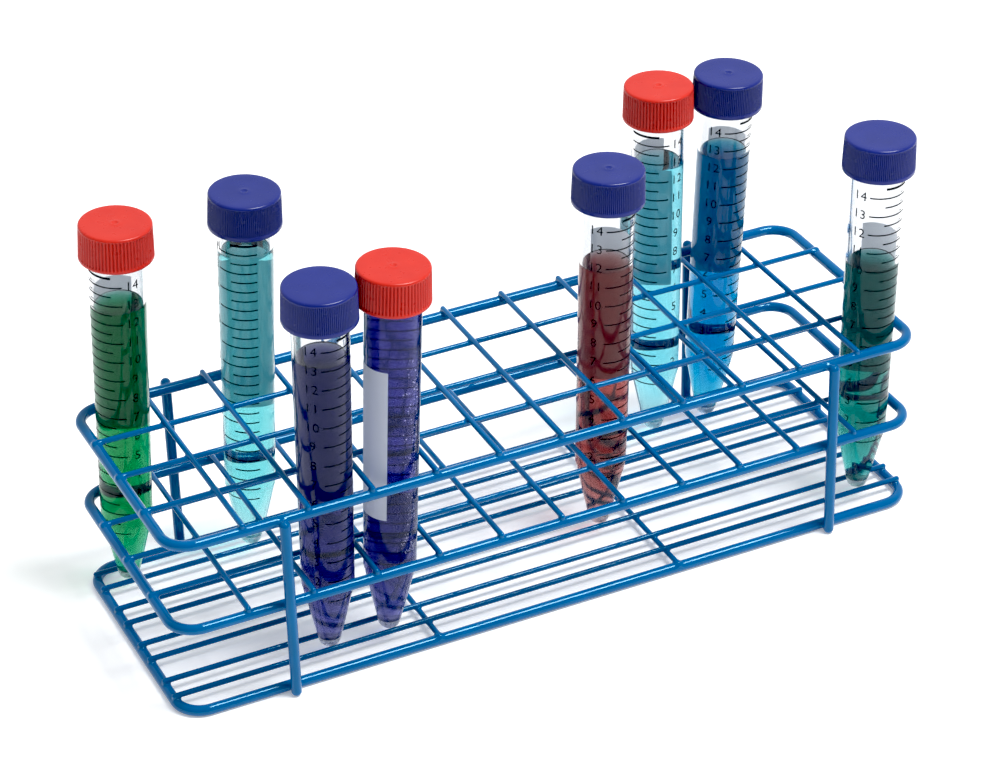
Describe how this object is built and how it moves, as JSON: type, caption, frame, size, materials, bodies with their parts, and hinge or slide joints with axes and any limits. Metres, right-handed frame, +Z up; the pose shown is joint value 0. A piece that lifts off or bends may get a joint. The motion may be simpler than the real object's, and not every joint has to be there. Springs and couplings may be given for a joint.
{
  "type": "test tube rack with capped conical tubes",
  "caption": "Blue coated-wire test tube rack holding capped conical tubes filled with coloured liquids; the tubes lift out and their caps unscrew.",
  "frame": {"origin": "middle of the rack's footprint, on the surface it stands on", "axes": "+X along the twelve columns, +Y from the front row to the back row, +Z up"},
  "size_m": [0.2436, 0.0898, 0.1259],
  "materials": {
    "blue_coat": "glossy blue epoxy coating over steel wire",
    "tube_plastic": "clear polypropylene with black printed graduations",
    "cap_liner": "soft white liner disc",
    "red_cap": "ribbed polyethylene, satin",
    "violet_cap": "finely ribbed polyethylene, satin",
    "dark_green_liquid": "clear coloured liquid inside a tube",
    "turquoise_liquid": "clear coloured liquid inside a tube",
    "purple_liquid": "clear coloured liquid inside a tube",
    "brown_red_liquid": "clear coloured liquid inside a tube",
    "cyan_liquid": "clear coloured liquid inside a tube",
    "blue_liquid": "clear coloured liquid inside a tube",
    "teal_liquid": "clear coloured liquid inside a tube"
  },
  "bodies": {
    "rack": {"base_frame_loop": "blue_coat", "middle_frame_loop": "blue_coat", "top_frame_loop": "blue_coat", "base_front_wires": "blue_coat", "base_back_wires": "blue_coat", "upright_front_left": "blue_coat", "upright_front_right": "blue_coat", "upright_back_left": "blue_coat", "upright_back_right": "blue_coat", "middle_long_wires": "blue_coat", "middle_cross_wire_1": "blue_coat", "middle_cross_wire_2": "blue_coat", "middle_cross_wire_3": "blue_coat", "middle_cross_wire_4": "blue_coat", "middle_cross_wire_5": "blue_coat", "middle_cross_wire_7": "blue_coat", "middle_cross_wire_8": "blue_coat", "middle_cross_wire_9": "blue_coat", "middle_cross_wire_10": "blue_coat", "middle_cross_wire_11": "blue_coat", "top_long_wires": "blue_coat", "top_cross_wire_1": "blue_coat", "top_cross_wire_2": "blue_coat", "top_cross_wire_3": "blue_coat", "top_cross_wire_4": "blue_coat", "top_cross_wire_5": "blue_coat", "top_cross_wire_7": "blue_coat", "top_cross_wire_8": "blue_coat", "top_cross_wire_9": "blue_coat", "top_cross_wire_10": "blue_coat", "top_cross_wire_11": "blue_coat"},
    "tube_1": {"tube_1": "tube_plastic"},
    "liner_1": {"cap_liner_1": "cap_liner"},
    "cap_1": {"cap_1": "red_cap"},
    "tube_2": {"tube_2": "tube_plastic"},
    "liner_2": {"cap_liner_2": "cap_liner"},
    "cap_2": {"cap_2": "violet_cap"},
    "tube_3": {"tube_3": "tube_plastic"},
    "liner_3": {"cap_liner_3": "cap_liner"},
    "cap_3": {"cap_3": "violet_cap"},
    "tube_4": {"tube_4": "tube_plastic"},
    "liner_4": {"cap_liner_4": "cap_liner"},
    "cap_4": {"cap_4": "red_cap"},
    "tube_5": {"tube_5": "tube_plastic"},
    "liner_5": {"cap_liner_5": "cap_liner"},
    "cap_5": {"cap_5": "violet_cap"},
    "tube_6": {"tube_6": "tube_plastic"},
    "liner_6": {"cap_liner_6": "cap_liner"},
    "cap_6": {"cap_6": "red_cap"},
    "tube_7": {"tube_7": "tube_plastic"},
    "liner_7": {"cap_liner_7": "cap_liner"},
    "cap_7": {"cap_7": "violet_cap"},
    "tube_8": {"tube_8": "tube_plastic"},
    "liner_8": {"cap_liner_8": "cap_liner"},
    "cap_8": {"cap_8": "violet_cap"}
  },
  "joints": [
    {"name": "tube_1_lift", "type": "slide", "parent": "rack", "child": "tube_1", "axis": [0.0419, -0.0301, 0.9987], "range_m": [0, 0.065]},
    {"name": "cap_1_rise", "type": "slide", "parent": "tube_1", "child": "liner_1", "axis": [0.0419, -0.0301, 0.9987], "range_m": [0, 0.0045]},
    {"name": "cap_1_turn", "type": "hinge", "parent": "liner_1", "child": "cap_1", "pos_m": [-0.10607, 0.02725, 0.12054], "axis": [0.0419, -0.0301, 0.9987], "range_deg": [0, 540]},
    {"name": "tube_2_lift", "type": "slide", "parent": "rack", "child": "tube_2", "axis": [0.0378, -0.0301, 0.9988], "range_m": [0, 0.065]},
    {"name": "cap_2_rise", "type": "slide", "parent": "tube_2", "child": "liner_2", "axis": [0.0378, -0.0301, 0.9988], "range_m": [0, 0.0045]},
    {"name": "cap_2_turn", "type": "hinge", "parent": "liner_2", "child": "cap_2", "pos_m": [-0.06682, 0.02725, 0.12056], "axis": [0.0378, -0.0301, 0.9988], "range_deg": [0, 540]},
    {"name": "tube_3_lift", "type": "slide", "parent": "rack", "child": "tube_3", "axis": [0.014, -0.0301, 0.9994], "range_m": [0, 0.065]},
    {"name": "cap_3_rise", "type": "slide", "parent": "tube_3", "child": "liner_3", "axis": [0.014, -0.0301, 0.9994], "range_m": [0, 0.0045]},
    {"name": "cap_3_turn", "type": "hinge", "parent": "liner_3", "child": "cap_3", "pos_m": [-0.06892, -0.03215, 0.12064], "axis": [0.014, -0.0301, 0.9994], "range_deg": [0, 540]},
    {"name": "tube_4_lift", "type": "slide", "parent": "rack", "child": "tube_4", "axis": [0.0427, -0.0268, 0.9987], "range_m": [0, 0.065]},
    {"name": "cap_4_rise", "type": "slide", "parent": "tube_4", "child": "liner_4", "axis": [0.0427, -0.0268, 0.9987], "range_m": [0, 0.0045]},
    {"name": "cap_4_turn", "type": "hinge", "parent": "liner_4", "child": "cap_4", "pos_m": [-0.04661, -0.03177, 0.12055], "axis": [0.0427, -0.0268, 0.9987], "range_deg": [0, 540]},
    {"name": "tube_5_lift", "type": "slide", "parent": "rack", "child": "tube_5", "axis": [0.0297, -0.0077, 0.9995], "range_m": [0, 0.065]},
    {"name": "cap_5_rise", "type": "slide", "parent": "tube_5", "child": "liner_5", "axis": [0.0297, -0.0077, 0.9995], "range_m": [0, 0.0045]},
    {"name": "cap_5_turn", "type": "hinge", "parent": "liner_5", "child": "cap_5", "pos_m": [0.03151, -0.00971, 0.12065], "axis": [0.0297, -0.0077, 0.9995], "range_deg": [0, 540]},
    {"name": "tube_6_lift", "type": "slide", "parent": "rack", "child": "tube_6", "axis": [0.0077, -0.0077, 0.9999], "range_m": [0, 0.065]},
    {"name": "cap_6_rise", "type": "slide", "parent": "tube_6", "child": "liner_6", "axis": [0.0077, -0.0077, 0.9999], "range_m": [0, 0.0045]},
    {"name": "cap_6_turn", "type": "hinge", "parent": "liner_6", "child": "cap_6", "pos_m": [0.06912, 0.02989, 0.12069], "axis": [0.0077, -0.0077, 0.9999], "range_deg": [0, 540]},
    {"name": "tube_7_lift", "type": "slide", "parent": "rack", "child": "tube_7", "axis": [0.0385, -0.027, 0.9989], "range_m": [0, 0.065]},
    {"name": "cap_7_rise", "type": "slide", "parent": "tube_7", "child": "liner_7", "axis": [0.0385, -0.027, 0.9989], "range_m": [0, 0.0045]},
    {"name": "cap_7_turn", "type": "hinge", "parent": "liner_7", "child": "cap_7", "pos_m": [0.09183, 0.02761, 0.12057], "axis": [0.0385, -0.027, 0.9989], "range_deg": [0, 540]},
    {"name": "tube_8_lift", "type": "slide", "parent": "rack", "child": "tube_8", "axis": [0.0201, -0.0077, 0.9998], "range_m": [0, 0.065]},
    {"name": "cap_8_rise", "type": "slide", "parent": "tube_8", "child": "liner_8", "axis": [0.0201, -0.0077, 0.9998], "range_m": [0, 0.0045]},
    {"name": "cap_8_turn", "type": "hinge", "parent": "liner_8", "child": "cap_8", "pos_m": [0.11076, -0.02951, 0.12067], "axis": [0.0201, -0.0077, 0.9998], "range_deg": [0, 540]}
  ],
  "couplings": [
    {"joint": "cap_1_rise", "follows": "cap_1_turn", "m_per_rad": 0.000477},
    {"joint": "cap_2_rise", "follows": "cap_2_turn", "m_per_rad": 0.000477},
    {"joint": "cap_3_rise", "follows": "cap_3_turn", "m_per_rad": 0.000477},
    {"joint": "cap_4_rise", "follows": "cap_4_turn", "m_per_rad": 0.000477},
    {"joint": "cap_5_rise", "follows": "cap_5_turn", "m_per_rad": 0.000477},
    {"joint": "cap_6_rise", "follows": "cap_6_turn", "m_per_rad": 0.000477},
    {"joint": "cap_7_rise", "follows": "cap_7_turn", "m_per_rad": 0.000477},
    {"joint": "cap_8_rise", "follows": "cap_8_turn", "m_per_rad": 0.000477}
  ]
}
